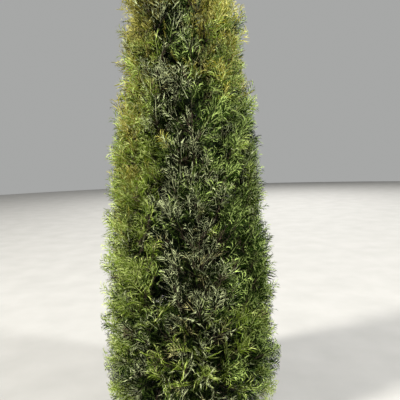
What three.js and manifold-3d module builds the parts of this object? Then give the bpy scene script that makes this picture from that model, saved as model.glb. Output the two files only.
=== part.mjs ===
// A lemon cypress grown as one narrow column: a single straight leader from the ground to the top,
// steep boughs all round it, and on every bough one plume of ferny golden-green sprays.
// Millimetres, +Z up. The origin is the middle of the trunk's flat cut at ground level.
import * as THREE from "three";
import { mergeVertices } from "three/addons/utils/BufferGeometryUtils.js";
import Module from "manifold-3d";

const wasm = await Module();
wasm.setup();

// The crown's outline: a narrow cone with a slightly full waist, drawn in a little over the ground.
const TREE_HEIGHT = 3900;
const CROWN_RADIUS = 550;
const CROWN_TIP_RADIUS = 62;
const CROWN_TAPER = 0.8;
const CROWN_FOOT = 60;
const FOOT_TUCK = 0.24;
const FOOT_RISE = 130;

// The leader: tapered, flared where it meets the ground, with a slight lean and sway.
const TRUNK_TOP = 3330;
const TRUNK_RADIUS = 43;
const TRUNK_TIP_RADIUS = 5;
const TRUNK_TAPER = 0.9;
const FLARE = 24;
const FLARE_RISE = 75;
const FLARE_LOBES = 5;
const FLARE_LOBE_SHARE = 0.3;
const TRUNK_LEAN = 26;
const TRUNK_SWAY = 9;
const SWAYS = 1.25;
const TRUNK_SIDES = 12;
const TRUNK_STEPS = 18;

// The plumes stand round the leader in tiers, five to a tier at the foot and three near the top.
const TIER_COUNT = 7;
const TIER_STEP = 470;
const TIER_MIDDLE = 0.7;
const TIER_TWIST = 0.45;
const FIRST_FOOT = 130;
const FOOT_JITTER = 90;
const TURN_JITTER = 0.5;
const FEWEST_IN_TIER = 1.4;
const MOST_IN_TIER = 5.3;

// A plume's stem, as shares of the crown's radius at its foot, its waist and its tip.
const SHORTEST_PLUME = 430;
const LONGEST_PLUME = 900;
const LENGTH_JITTER = 0.08;
const PLUME_FOOT_SHARE = 0.27;
const SLIM_WAIST_SHARE = 0.48;
const FULL_WAIST_SHARE = 0.6;
const WAIST_DROP_SHARE = 0.22;
const PLUME_TIP_SHARE = 0.78;
const STEM_TIP_RADIUS = 2.5;

// The leader's own plume, from the trunk's tip to just under the crown's top.
const LEADER_SIZE = 0.28;
const LEADER_BELOW_TOP = 110;
const LEADER_LEAN_KEPT = 0.6;

const BOUGH_RISE = 120;
const LOWEST_BOUGH = 45;
const SLIM_BOUGH_RISE = 0.5;
const BOUGH_ELBOW = 90;
const BOUGH_RADIUS = 13;
const SLIM_BOUGH_SHARE = 0.45;
const BOUGH_TIP_SHARE = 0.6;
const BOUGH_SIDES = 5;
const BOUGH_STEPS = 3;

// Inside each plume: a core round its stem that the sprays stand out of.
const CORE_SIDES = 6;
const CORE_STEPS = 5;
const SLIM_CORE_SHARE = 0.27;
const FULL_CORE_SHARE = 0.19;
const CORE_SIDE = 0.6;
const CORE_INNER = 0.8;
const CORE_BLUNTNESS = 0.7;

// The twigs on a stem: how many, how far round it they spread, and where along it they stand.
const FEWEST_TWIGS = 9;
const MOST_TWIGS = 18;
const LEADER_TWIGS = 16;
const OUTWARD_FAN = 1.9;
const OUTWARD_BIAS = 1.25;
const LOWEST_TWIG = 0.02;
const HIGHEST_TWIG = 0.95;
const TWIG_RADIUS = 4;
const TWIG_TIP_RADIUS = 2.2;
const TWIG_SIDES = 3;
const TWIG_SINK = 10;
const NO_TWIG_SHARE = 0.7;

// Angles above the level, from a plume's lowest twig to its highest, and the lowest tier's droop.
const LOW_TWIG_RISE = 0.5;
const HIGH_TWIG_RISE = 1;
const STEEPEST_RISE = 1.4;
const TWIG_STEEPER = [0, 0.2, 0.4, 0.6];
const SKIRT_DROOP = 0.9;

const SHORTEST_SPRAY = 90;
const LONGEST_SPRAY = 270;
const SPRAY_JITTER = 0.12;
const SPRAY_ROOT = 14;
const SPRAY_FACING_JITTER = 0.9;
const LONGEST_REACH = 2;
const SHORTEST_SHARE = 0.78;
const SHORTER_TRIES = [1, 0.82];

// Clearances: between a limb and its neighbour, and between the spaces of two plumes.
const LIMB_GAP = 0.3;
const SPACE_GAP = 5;
const MARCH_STEP = 6;
const STEM_SAMPLES = 26;

const GOLDEN_ANGLE = Math.PI * (3 - Math.sqrt(5));
const UP = new THREE.Vector3(0, 0, 1);

// Repeatable numbers from 0 to 1, the same on every run: one stream for each kind of choice.
const STREAM = { turn: 1, foot: 2, length: 3, height: 4, facing: 5, spray: 6 };
const CHANCE_STEP = 12.9898;
const CHANCE_SHIFT = 78.233;
const CHANCE_SCALE = 43758.5453;

function chance(stream, n) {
  const s = Math.sin(n * CHANCE_STEP + stream * CHANCE_SHIFT) * CHANCE_SCALE;
  return s - Math.floor(s);
}

const between = (low, high, share) => low + (high - low) * share;
const jittered = (middle, jitter, stream, n) => middle + jitter * (2 * chance(stream, n) - 1);

function crownRadius(z) {
  const taper = Math.pow(Math.max(0, 1 - z / TREE_HEIGHT), CROWN_TAPER);
  return between(CROWN_TIP_RADIUS, CROWN_RADIUS, taper) * (1 - FOOT_TUCK * Math.exp(-z / FOOT_RISE));
}

function polar(turn, radius, z) {
  return new THREE.Vector3(radius * Math.cos(turn), radius * Math.sin(turn), z);
}

// The middle line of the leader at height z.
function trunkMiddle(z) {
  const share = z / TRUNK_TOP;
  const sway = TRUNK_SWAY * Math.sin(share * SWAYS * 2 * Math.PI);
  return new THREE.Vector3(TRUNK_LEAN * share * share + sway, -sway * share, z);
}

// A closed tapering limb along a curve. radiusAt gives its radius at t from 0 to 1 and at an angle
// round the curve, counted from the direction across.
function limb(curve, radiusAt, sides, steps, across) {
  const geometry = new THREE.CylinderGeometry(1, 1, 1, sides, steps);
  const position = geometry.getAttribute("position");
  const corner = new THREE.Vector3();
  for (let i = 0; i < position.count; i++) {
    corner.fromBufferAttribute(position, i);
    const t = corner.y + 0.5;
    const tangent = curve.getTangent(t);
    const first = across.clone().addScaledVector(tangent, -across.dot(tangent)).normalize();
    const second = first.clone().cross(tangent);
    const onRim = Math.hypot(corner.x, corner.z) > 0.5;
    const radius = onRim ? radiusAt(t, Math.atan2(corner.z, corner.x)) : 0;
    const place = curve.getPoint(t);
    place.addScaledVector(first, radius * corner.x).addScaledVector(second, radius * corner.z);
    position.setXYZ(i, place.x, place.y, place.z);
  }
  return geometry;
}

function solidOf(geometry) {
  const bare = geometry.clone();
  bare.deleteAttribute("normal");
  bare.deleteAttribute("uv");
  const merged = mergeVertices(bare, 1e-3);
  return new wasm.Manifold(
    new wasm.Mesh({
      numProp: 3,
      vertProperties: new Float32Array(merged.getAttribute("position").array),
      triVerts: new Uint32Array(merged.index.array),
    }),
  );
}

// Of a fused solid only the largest body counts: scraps are dropped and sealed hollows are filled.
function largestBody(solid) {
  const bodies = solid.decompose();
  return bodies.reduce((best, body) => (body.volume() > best.volume() ? body : best));
}

const fused = (solids) => solids.reduce((whole, solid) => whole.add(solid));

function meshOf(solid, name, material) {
  const mesh = solid.getMesh();
  const geometry = new THREE.BufferGeometry();
  geometry.setAttribute("position", new THREE.BufferAttribute(mesh.vertProperties, 3));
  geometry.setIndex(new THREE.BufferAttribute(mesh.triVerts, 1));
  geometry.computeVertexNormals();
  const made = new THREE.Mesh(geometry, material);
  made.name = name;
  return made;
}

function trunkRadius(z, angle) {
  const share = Math.pow(1 - z / TRUNK_TOP, TRUNK_TAPER);
  const flare = FLARE * Math.exp(-z / FLARE_RISE);
  const lobes = 1 + FLARE_LOBE_SHARE * Math.cos(FLARE_LOBES * angle);
  return between(TRUNK_TIP_RADIUS, TRUNK_RADIUS, share) + flare * lobes;
}

// Level rings up the leader, closer together near the ground, where the flare bends the outline.
class TrunkRings extends THREE.Curve {
  getPoint(t) {
    return trunkMiddle(t * t * TRUNK_TOP);
  }

  getTangent() {
    return UP.clone();
  }
}

function trunkSolid(gap) {
  const radiusAt = (t, angle) => trunkRadius(t * t * TRUNK_TOP, angle) + gap;
  const across = new THREE.Vector3(1, 0, 0);
  return solidOf(limb(new TrunkRings(), radiusAt, TRUNK_SIDES, TRUNK_STEPS, across));
}

// Every plume: its direction from the trunk, and its stem from the bough's end to its own tip. Its
// size is the crown's radius at its waist, as a share of the widest.
function plumesInTiers() {
  const made = [];
  for (let tier = 0; tier < TIER_COUNT; tier++) {
    const low = FIRST_FOOT + tier * TIER_STEP;
    const fullness = crownRadius(low + TIER_MIDDLE * TIER_STEP) / CROWN_RADIUS;
    const count = Math.round(between(FEWEST_IN_TIER, MOST_IN_TIER, fullness));
    for (let i = 0; i < count; i++) {
      const n = made.length;
      const place = jittered(i, TURN_JITTER / 2, STREAM.turn, n);
      const turn = (place * 2 * Math.PI) / count + tier * (TIER_TWIST + Math.PI / count);
      const foot = tier === 0 ? low : low + FOOT_JITTER * chance(STREAM.foot, n);
      const length =
        between(SHORTEST_PLUME, LONGEST_PLUME, fullness) * jittered(1, LENGTH_JITTER, STREAM.length, n);
      const waist = foot + length / 2;
      const tip = foot + length;
      const size = crownRadius(waist) / CROWN_RADIUS;
      const waistShare = between(SLIM_WAIST_SHARE, FULL_WAIST_SHARE, size);
      const stem = new THREE.QuadraticBezierCurve3(
        polar(turn, PLUME_FOOT_SHARE * crownRadius(foot), foot),
        polar(turn, waistShare * crownRadius(waist), waist - length * WAIST_DROP_SHARE),
        polar(turn, PLUME_TIP_SHARE * crownRadius(tip), tip),
      );
      const name = `${tier + 1}_${i + 1}`;
      const twigs = Math.round(between(FEWEST_TWIGS, MOST_TWIGS, size));
      made.push({ name, turn, foot, stem, size, twigs, fan: OUTWARD_FAN, bias: OUTWARD_BIAS });
    }
  }
  return made;
}

// The plume that tops the leader stands straight up and spreads all round.
function leaderPlume() {
  const foot = trunkMiddle(TRUNK_TOP);
  foot.z += LIMB_GAP;
  const tip = new THREE.Vector3(foot.x * LEADER_LEAN_KEPT, foot.y, TREE_HEIGHT - LEADER_BELOW_TOP);
  const stem = new THREE.QuadraticBezierCurve3(foot, foot.clone().lerp(tip, 0.5), tip);
  const spread = { turn: 0, fan: Math.PI, bias: 1 };
  return { name: "leader", foot: foot.z, stem, size: LEADER_SIZE, twigs: LEADER_TWIGS, ...spread };
}

const plumes = [...plumesInTiers(), leaderPlume()];
for (const plume of plumes) {
  plume.samples = plume.stem.getPoints(STEM_SAMPLES);
  plume.distanceTo = (point) => Math.min(...plume.samples.map((sample) => sample.distanceTo(point)));
}

// A plume's own space: inside the crown's outline and nearer to its stem than to any other.
function inSpace(point, plume) {
  if (point.z < CROWN_FOOT || point.z > TREE_HEIGHT) return false;
  if (Math.hypot(point.x, point.y) > crownRadius(point.z)) return false;
  const own = plume.distanceTo(point) + SPACE_GAP;
  return plumes.every((other) => other === plume || other.distanceTo(point) > own);
}

// How far a line runs from a point inside a plume's space before it leaves that space.
function roomAlong(start, direction, plume, most) {
  const point = start.clone();
  let room = 0;
  while (room < most && inSpace(point, plume)) {
    room += MARCH_STEP;
    point.copy(start).addScaledVector(direction, room);
  }
  return Math.max(0, room - MARCH_STEP);
}

const acrossOf = (turn) => new THREE.Vector3(-Math.sin(turn), Math.cos(turn), 0);

const boughRadius = (plume) => BOUGH_RADIUS * between(SLIM_BOUGH_SHARE, 1, plume.size);

// One bough: it leaves the trunk's middle, bends at its elbow and runs on into the plume's stem.
function boughSolid(plume, gap) {
  const end = plume.stem.getPoint(0);
  const elbow = end.clone().addScaledVector(plume.stem.getTangent(0), -BOUGH_ELBOW * plume.size);
  const below = BOUGH_RISE * between(SLIM_BOUGH_RISE, 1, plume.size);
  const start = trunkMiddle(Math.max(LOWEST_BOUGH, plume.foot - below));
  const curve = new THREE.QuadraticBezierCurve3(start, elbow, end);
  const thick = boughRadius(plume);
  const radiusAt = (t) => between(thick, thick * BOUGH_TIP_SHARE, t) + gap;
  return solidOf(limb(curve, radiusAt, BOUGH_SIDES, BOUGH_STEPS, acrossOf(plume.turn)));
}

const coreReach = (plume) =>
  between(SLIM_CORE_SHARE, FULL_CORE_SHARE, plume.size) * CROWN_RADIUS * plume.size;

// The stem and the core round it, ring by ring. The core is slim on the side that faces out of the
// crown and spreads towards its neighbours and the trunk. The stem stands a gap clear of its bough.
function stemAndCore(plume) {
  const across = acrossOf(plume.turn);
  const foot = plume.name === "leader" ? TRUNK_TIP_RADIUS : boughRadius(plume) * BOUGH_TIP_SHARE;
  const shift = plume.stem.getTangent(0).multiplyScalar(LIMB_GAP);
  const middle = new THREE.Curve();
  middle.getPoint = (t) => plume.stem.getPoint(t).add(shift);
  const radiusAt = (t, angle) => {
    const stem = between(foot, STEM_TIP_RADIUS, t);
    if (t === 0 || t === 1) return stem;
    const outward = across.clone().cross(plume.stem.getTangent(t)).normalize();
    const heading = across.clone().multiplyScalar(Math.cos(angle)).addScaledVector(outward, Math.sin(angle));
    const stretch = 1 + CORE_SIDE * Math.cos(angle) ** 2 + CORE_INNER * Math.max(0, -Math.sin(angle));
    const room = roomAlong(middle.getPoint(t), heading, plume, coreReach(plume) * stretch);
    return Math.max(stem, room * Math.pow(Math.sin(Math.PI * t), CORE_BLUNTNESS));
  };
  return solidOf(limb(middle, radiusAt, CORE_SIDES, CORE_STEPS, across));
}

// The rim of one spray, as shares of its length: across it and along it from its root.
const SPRAY_RIM = [
  [0, 0],
  [0.26, 0.45],
  [0.13, 0.56],
  [0.16, 0.84],
  [0, 1],
  [-0.1, 0.7],
  [-0.28, 0.64],
];
const SPRAY_RIDGE = 0.44;
const SPRAY_THICK_SHARE = 0.02;
const SPRAY_FOLD = 0.5;

// One spray is a toothed blade, folded along its middle: a rim with a ridge point on each face.
function sprayGeometry(root, direction, facing, length, hand) {
  const along = direction.clone().normalize();
  const out = facing.clone().addScaledVector(along, -facing.dot(along)).normalize();
  const across = along.clone().cross(out).multiplyScalar(hand);
  const place = (x, y, z) =>
    root
      .clone()
      .addScaledVector(across, x * length)
      .addScaledVector(along, y * length)
      .addScaledVector(out, z * length);
  const corners = SPRAY_RIM.map(([x, y]) => place(x, y, -SPRAY_FOLD * Math.abs(x)));
  corners.push(place(0, SPRAY_RIDGE, SPRAY_THICK_SHARE), place(0, SPRAY_RIDGE, -SPRAY_THICK_SHARE));
  const front = SPRAY_RIM.length;
  const faces = [];
  for (let i = 0; i < front; i++) {
    const next = (i + 1) % front;
    const [a, b] = hand > 0 ? [i, next] : [next, i];
    faces.push(a, b, front, b, a, front + 1);
  }
  const geometry = new THREE.BufferGeometry().setFromPoints(corners);
  geometry.setIndex(faces);
  return geometry;
}

// A spray's fit is tested at its rim and at the middles of the edges between its outer corners.
function sprayKeepsToSpace(geometry, plume) {
  const position = geometry.getAttribute("position");
  const corner = (i) => new THREE.Vector3().fromBufferAttribute(position, i);
  const last = SPRAY_RIM.length - 1;
  for (let i = 1; i <= last; i++) {
    if (!inSpace(corner(i), plume)) return false;
    if (i < last && !inSpace(corner(i).lerp(corner(i + 1), 0.5), plume)) return false;
  }
  return true;
}

const clearOf = (solid, others) => others.every((other) => solid.intersect(other).isEmpty());

// A spray headed from a point on a stem, as long as the room along it allows, its tip reaching the
// edge of the plume's space. Nothing where it would be too short or touch what is taken already.
function fittedSpray(plume, start, heading, facing, length, hand, taken) {
  const room = roomAlong(start, heading, plume, LONGEST_REACH * length);
  const long = Math.min(length, room);
  if (long < SHORTEST_SHARE * length) return null;
  const offset = room - long;
  const root = start.clone().addScaledVector(heading, offset - SPRAY_ROOT);
  for (const share of SHORTER_TRIES) {
    const geometry = sprayGeometry(root, heading, facing, long * share + SPRAY_ROOT, hand);
    if (!sprayKeepsToSpace(geometry, plume)) continue;
    const solid = solidOf(geometry);
    if (clearOf(solid, taken)) return { solid, offset };
  }
  return null;
}

function twigSolid(start, heading, length) {
  const radiusAt = (t) => between(TWIG_RADIUS, TWIG_TIP_RADIUS, t);
  const line = new THREE.LineCurve3(start, start.clone().addScaledVector(heading, length));
  const across = new THREE.Vector3().crossVectors(heading, UP);
  return solidOf(limb(line, radiusAt, TWIG_SIDES, 1, across));
}

// One twig and its spray, headed from the stem at t. It takes the lowest rise that leaves the spray
// room. A spray whose root lies in the core has no twig of its own.
function twigAndSpray(plume, t, swing, rise, facing, length, hand, taken) {
  const start = plume.stem.getPoint(t);
  for (const steeper of TWIG_STEEPER) {
    const up = Math.min(rise + steeper, STEEPEST_RISE);
    const heading = polar(plume.turn + swing, Math.cos(up), Math.sin(up));
    const spray = fittedSpray(plume, start, heading, facing, length, hand, taken);
    if (!spray) continue;
    if (spray.offset < NO_TWIG_SHARE * coreReach(plume)) return [spray.solid];
    const wood = twigSolid(start, heading, spray.offset + TWIG_SINK);
    if (clearOf(wood, taken)) return [wood, spray.solid];
  }
  return [];
}

const sprayLength = (plume) => between(SHORTEST_SPRAY, LONGEST_SPRAY, plume.size);

// The twigs set off round the stem by the golden angle, more of them on the side that faces out of
// the crown, and rise more steeply the higher they stand. The lowest tier's low twigs droop.
function twigsAndSprays(plume, limbs) {
  const taken = [limbs];
  for (let j = 0; j < plume.twigs; j++) {
    const n = plumes.indexOf(plume) * 2 * MOST_TWIGS + j;
    const t = between(LOWEST_TWIG, HIGHEST_TWIG, (j + 0.5 * chance(STREAM.height, n)) / plume.twigs);
    const droop = plume.foot === FIRST_FOOT ? SKIRT_DROOP * Math.max(0, 1 - 2 * t) : 0;
    const rise = between(LOW_TWIG_RISE, HIGH_TWIG_RISE, t) - droop;
    const round = 2 * (((j * GOLDEN_ANGLE) / (2 * Math.PI)) % 1) - 1;
    const swing = plume.fan * Math.sign(round) * Math.pow(Math.abs(round), plume.bias);
    const facing = polar(plume.turn + jittered(swing, SPRAY_FACING_JITTER, STREAM.facing, n), 1, 0);
    const length = sprayLength(plume) * jittered(1, SPRAY_JITTER, STREAM.spray, n);
    taken.push(...twigAndSpray(plume, t, swing, rise, facing, length, j % 2 ? 1 : -1, taken));
  }
  return taken.slice(1);
}

function tipSpray(plume, limbs) {
  const end = plume.stem.getPoint(1);
  const top = plume.stem.getTangent(1);
  const spray = fittedSpray(plume, end, top, polar(plume.turn, 1, 0), sprayLength(plume), 1, [limbs]);
  return spray ? [spray.solid, twigSolid(end, top, spray.offset + TWIG_SINK)] : [];
}

function plumeSolid(plume, limbs) {
  const core = stemAndCore(plume).subtract(limbs);
  return largestBody(fused([core, ...twigsAndSprays(plume, limbs), ...tipSpray(plume, limbs)]));
}

const finish = (color, roughness) => new THREE.MeshStandardMaterial({ color, roughness, metalness: 0 });
const bark = finish(0x6e5440, 0.9);
const youngBark = finish(0x7d5c42, 0.85);
const foliageColors = [0x7d8a3c, 0x8f9644, 0x6f8038, 0x9a9d4c].map((color) => finish(color, 0.7));

const trunk = trunkSolid(0);
const trunkClear = trunkSolid(LIMB_GAP);
const boughPlumes = plumes.filter((plume) => plume.name !== "leader");
const boughs = boughPlumes.map((plume) => largestBody(boughSolid(plume, 0).subtract(trunkClear)));
const limbs = fused([trunkClear, ...boughPlumes.map((plume) => boughSolid(plume, LIMB_GAP))]);

const tree = new THREE.Group();
tree.add(meshOf(trunk, "trunk", bark));
boughPlumes.forEach((plume, i) => tree.add(meshOf(boughs[i], `bough_${plume.name}`, youngBark)));
plumes.forEach((plume, i) => {
  const material = foliageColors[i % foliageColors.length];
  tree.add(meshOf(plumeSolid(plume, limbs), `foliage_${plume.name}`, material));
});

export default tree;
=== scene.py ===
from types import SimpleNamespace

import bmesh
import bpy
import numpy as np
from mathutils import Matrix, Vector


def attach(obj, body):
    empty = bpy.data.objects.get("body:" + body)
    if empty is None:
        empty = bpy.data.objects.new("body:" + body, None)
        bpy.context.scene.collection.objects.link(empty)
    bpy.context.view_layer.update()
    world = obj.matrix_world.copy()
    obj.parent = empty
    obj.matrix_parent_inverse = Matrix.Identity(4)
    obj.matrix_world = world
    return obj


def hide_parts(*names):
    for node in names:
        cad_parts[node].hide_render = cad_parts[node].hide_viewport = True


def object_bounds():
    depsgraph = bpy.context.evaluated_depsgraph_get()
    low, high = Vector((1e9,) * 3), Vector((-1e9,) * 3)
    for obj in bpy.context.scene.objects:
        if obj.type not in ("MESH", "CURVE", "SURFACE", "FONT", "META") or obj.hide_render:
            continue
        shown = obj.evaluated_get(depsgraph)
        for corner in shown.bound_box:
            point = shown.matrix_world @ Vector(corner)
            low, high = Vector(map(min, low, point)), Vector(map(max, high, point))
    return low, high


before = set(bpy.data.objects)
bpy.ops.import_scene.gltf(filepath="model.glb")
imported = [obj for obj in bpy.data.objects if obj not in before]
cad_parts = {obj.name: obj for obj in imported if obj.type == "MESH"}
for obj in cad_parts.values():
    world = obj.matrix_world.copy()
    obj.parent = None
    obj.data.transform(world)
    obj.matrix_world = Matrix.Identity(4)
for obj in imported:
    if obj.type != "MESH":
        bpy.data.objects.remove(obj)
cad_box = [list(corner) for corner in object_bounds()]

# The leader is the tree's one trunk, of pale wood under thin grey-brown bark that splits into upright
# fibrous ridges. It grew straight up from the ground with a slight sway, spreads into five low lobes
# at its foot and is cut flat there. The bark's relief is in the mesh, its fibres in the finish.
TRUNK_TOP = 3.33
TRUNK_RADIUS = 0.043
TRUNK_TIP_RADIUS = 0.005
TRUNK_TAPER = 0.9
TRUNK_LEAN = 0.026
TRUNK_SWAY = 0.009
SWAYS = 1.25
FLARE = 0.024
FLARE_RISE = 0.075
FLARE_LOBES = 5
FLARE_LOBE_SHARE = 0.3


def between(low, high, share):
    return low + (high - low) * share


def trunk_middle(z):
    share = np.asarray(z, float) / TRUNK_TOP
    sway = TRUNK_SWAY * np.sin(share * SWAYS * 2 * np.pi)
    return np.stack([TRUNK_LEAN * share**2 + sway, -sway * share, share * TRUNK_TOP], axis=-1)


def trunk_radius(z, angle):
    share = np.maximum(0, 1 - z / TRUNK_TOP) ** TRUNK_TAPER
    lobes = 1 + FLARE_LOBE_SHARE * np.cos(FLARE_LOBES * angle)
    return between(TRUNK_TIP_RADIUS, TRUNK_RADIUS, share) + FLARE * np.exp(-z / FLARE_RISE) * lobes


RIDGES = 9
RIDGE_SHARE = 0.11
RIDGE_MIDDLE = 0.7
FURROW_WIDTH = 0.6
FINE_RIDGES = 21
FINE_RIDGE_SHARE = 0.05
FINE_RIDGE_MIDDLE = 0.6
FLAKE_SHARE = 0.02


def bark_relief(height, angle):
    """Upright ridges with narrow furrows between them, which wander and fork up the stem, and flakes
    on them. The waves are of unlike lengths, so that no part of the bark comes again on one stem."""
    wander = 1.1 * np.sin(9 * height) + 0.6 * np.sin(23 * height + 1.3)
    broad = np.abs(np.sin(RIDGES / 2 * angle + wander)) ** FURROW_WIDTH
    fine = np.abs(np.sin(FINE_RIDGES / 2 * angle - 1.7 * wander + 0.8 * np.sin(41 * height)))
    flakes = np.sin(67 * height + 3 * np.sin(2 * angle)) * np.sin(5 * angle + 31 * height)
    relief = RIDGE_SHARE * (broad - RIDGE_MIDDLE) + FINE_RIDGE_SHARE * (fine - FINE_RIDGE_MIDDLE)
    return relief + FLAKE_SHARE * flakes


def points_of(piece):
    place = np.empty(3 * len(piece.data.vertices))
    piece.data.vertices.foreach_get("co", place)
    return place.reshape(-1, 3)


def move_points(piece, place):
    piece.data.vertices.foreach_set("co", np.ascontiguousarray(place, np.float32).ravel())
    piece.data.update()


TRUNK_SIDES = 72
TRUNK_STAGES = 36
STAGE_CROWDING = 1.6
CUTS_IN_STAGE = 5
MEAN_FLARE_ANGLE = 0.3
UPRIGHT_EDGE_RISE = 1e-4
SMOOTH_ANGLE = 0.9

bpy.ops.object.select_all(action="DESELECT")
bpy.ops.mesh.primitive_circle_add(vertices=TRUNK_SIDES, radius=TRUNK_RADIUS + FLARE, fill_type="NGON")
leader = bpy.context.object
leader.name = leader.data.name = "leader"
bpy.ops.object.mode_set(mode="EDIT")
stage_heights = TRUNK_TOP * (np.arange(TRUNK_STAGES + 1) / TRUNK_STAGES) ** STAGE_CROWDING
for low, high in zip(stage_heights[:-1], stage_heights[1:]):
    lift = trunk_middle(high) - trunk_middle(low)
    narrower = float(trunk_radius(high, MEAN_FLARE_ANGLE) / trunk_radius(low, MEAN_FLARE_ANGLE))
    bpy.ops.mesh.extrude_region_move(TRANSFORM_OT_translate={"value": lift.tolist()})
    bpy.ops.transform.resize(
        value=(narrower, narrower, 1), center_override=trunk_middle(high).tolist()
    )
bpy.ops.mesh.select_mode(type="EDGE")
bpy.ops.mesh.select_all(action="DESELECT")
stages = bmesh.from_edit_mesh(leader.data)
for edge in stages.edges:
    edge.select_set(abs(edge.verts[0].co.z - edge.verts[1].co.z) > UPRIGHT_EDGE_RISE)
bmesh.update_edit_mesh(leader.data)
bpy.ops.mesh.subdivide(number_cuts=CUTS_IN_STAGE)
bpy.ops.mesh.select_all(action="SELECT")
bpy.ops.mesh.normals_make_consistent(inside=False)
bpy.ops.object.mode_set(mode="OBJECT")

trunk_points = points_of(leader)
height = trunk_points[:, 2]
from_middle = trunk_points - trunk_middle(height)
angle = np.arctan2(from_middle[:, 1], from_middle[:, 0])
radius = trunk_radius(height, angle) * (1 + bark_relief(height, angle))
ring = np.stack([np.cos(angle), np.sin(angle), np.zeros_like(angle)], axis=1)
move_points(leader, trunk_middle(height) + radius[:, None] * ring)
bpy.ops.object.shade_smooth_by_angle(angle=SMOOTH_ANGLE)


class Wire:
    """One output in a finish's nodes. Sums on it add Math nodes, and node() adds any other kind."""

    def __init__(self, tree, output=None):
        self.tree = tree
        self.output = output

    def node(self, kind, settings=None, sockets=None, take=0):
        made = self.tree.nodes.new(kind)
        for name, value in (settings or {}).items():
            if name == "stops":
                ramp = made.color_ramp.elements
                ramp[0].position, ramp[0].color = value[0]
                ramp[-1].position, ramp[-1].color = value[-1]
                for position, color in value[1:-1]:
                    ramp.new(position).color = color
            else:
                setattr(made, name, value)
        for name, value in (sockets or {}).items():
            if isinstance(value, Wire):
                self.tree.links.new(value.output, made.inputs[name])
            else:
                made.inputs[name].default_value = value
        return Wire(self.tree, made.outputs[take] if made.outputs else None)

    def math(self, operation, first, second):
        return self.node("ShaderNodeMath", {"operation": operation}, {0: first, 1: second})

    def __add__(self, other):
        return self.math("ADD", self, other)

    def __radd__(self, other):
        return self.math("ADD", other, self)

    def __sub__(self, other):
        return self.math("SUBTRACT", self, other)

    def __rsub__(self, other):
        return self.math("SUBTRACT", other, self)

    def __mul__(self, other):
        return self.math("MULTIPLY", self, other)

    def __rmul__(self, other):
        return self.math("MULTIPLY", other, self)


def new_finish(name):
    """An empty finish, and the wire of its Object coordinates."""
    material = bpy.data.materials.new(name)
    material.use_nodes = True
    material.node_tree.nodes.clear()
    return material, Wire(material.node_tree).node("ShaderNodeTexCoord", take="Object")


def lay_on(place, sockets):
    """Ends a finish: its surface, with what its sockets take."""
    surface = place.node("ShaderNodeBsdfPrincipled", sockets=sockets)
    place.node("ShaderNodeOutputMaterial", sockets={"Surface": surface})


def paint(hex_color):
    """A colour as it looks on a screen, as the four numbers that a socket takes."""
    shown = np.array([int(hex_color[i : i + 2], 16) for i in (0, 2, 4)]) / 255
    linear = np.where(shown <= 0.04045, shown / 12.92, ((shown + 0.055) / 1.055) ** 2.4)
    return (*linear.tolist(), 1.0)


FIBRE_SQUEEZE = 0.07
STRIP_SCALE_SHARE = 0.22
FIBRE_GRAIN = 0.62
STRIP_GRAIN = 0.5
GRAIN_LOWERED = 0.06
WEATHERED_TINT = "A79E8C"
WEATHERED_SHARE = 0.7
BARK_ROUGHNESS = 0.97
FIBRE_GLOSS = 0.2


def bark_finish(name, furrow, strip, worn, fibre_scale):
    """Fibrous bark: long upright fibres, darker in the furrows, paler where strips have lifted."""
    material, place = new_finish(name)
    upright = place.node(
        "ShaderNodeMapping", sockets={"Vector": place, "Scale": (1, 1, FIBRE_SQUEEZE)}
    )
    fibres = place.node(
        "ShaderNodeTexNoise",
        sockets={"Vector": upright, "Scale": fibre_scale, "Detail": 6, "Roughness": 0.65},
    )
    strip_scale = fibre_scale * STRIP_SCALE_SHARE
    strips = place.node(
        "ShaderNodeTexNoise",
        sockets={"Vector": upright, "Scale": strip_scale, "Detail": 3, "Distortion": 0.4},
    )
    patches = place.node("ShaderNodeTexNoise", sockets={"Vector": place, "Scale": 7, "Detail": 2})
    grain = fibres * FIBRE_GRAIN + strips * STRIP_GRAIN - GRAIN_LOWERED
    color = place.node(
        "ShaderNodeValToRGB",
        {"stops": [(0.3, paint(furrow)), (0.52, paint(strip)), (0.74, paint(worn))]},
        {"Fac": grain},
    )
    weathered = place.node(
        "ShaderNodeMix",
        {"data_type": "RGBA", "blend_type": "MULTIPLY"},
        {"Factor": patches * WEATHERED_SHARE, 6: color, 7: paint(WEATHERED_TINT)},
        take=2,
    )
    relief = place.node(
        "ShaderNodeBump", sockets={"Height": grain, "Strength": 0.6, "Distance": 0.003}
    )
    roughness = BARK_ROUGHNESS - FIBRE_GLOSS * fibres
    lay_on(place, {"Base Color": weathered, "Roughness": roughness, "Normal": relief})
    return material


bark = bark_finish("bark", furrow="221A14", strip="55443A", worn="7C6C5A", fibre_scale=210)
leader.data.materials.append(bark)
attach(leader, "root")
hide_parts("trunk")

# The boughs leave the trunk one after the other on their way round it, turn up at an elbow and carry
# the plumes. They are of the same wood under thinner, redder bark with low ridges. One straight limb
# is modelled, and each bough is a copy of it bent along its own line and tapered to its own size.
CHANCE_STEP = 12.9898
CHANCE_SHIFT = 78.233
CHANCE_SCALE = 43758.5453
STREAM = {"turn": 1, "foot": 2, "length": 3, "height": 4, "facing": 5, "spray": 6}


def chance(stream, n):
    """Repeatable numbers from 0 to 1: one stream for each kind of choice."""
    s = np.sin(np.asarray(n) * CHANCE_STEP + stream * CHANCE_SHIFT) * CHANCE_SCALE
    return s - np.floor(s)


def jittered(middle, jitter, stream, n):
    return middle + jitter * (2 * chance(stream, n) - 1)


TREE_HEIGHT = 3.9
CROWN_RADIUS = 0.55
CROWN_TIP_RADIUS = 0.062
CROWN_TAPER = 0.8
FOOT_TUCK = 0.24
FOOT_RISE = 0.13


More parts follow.
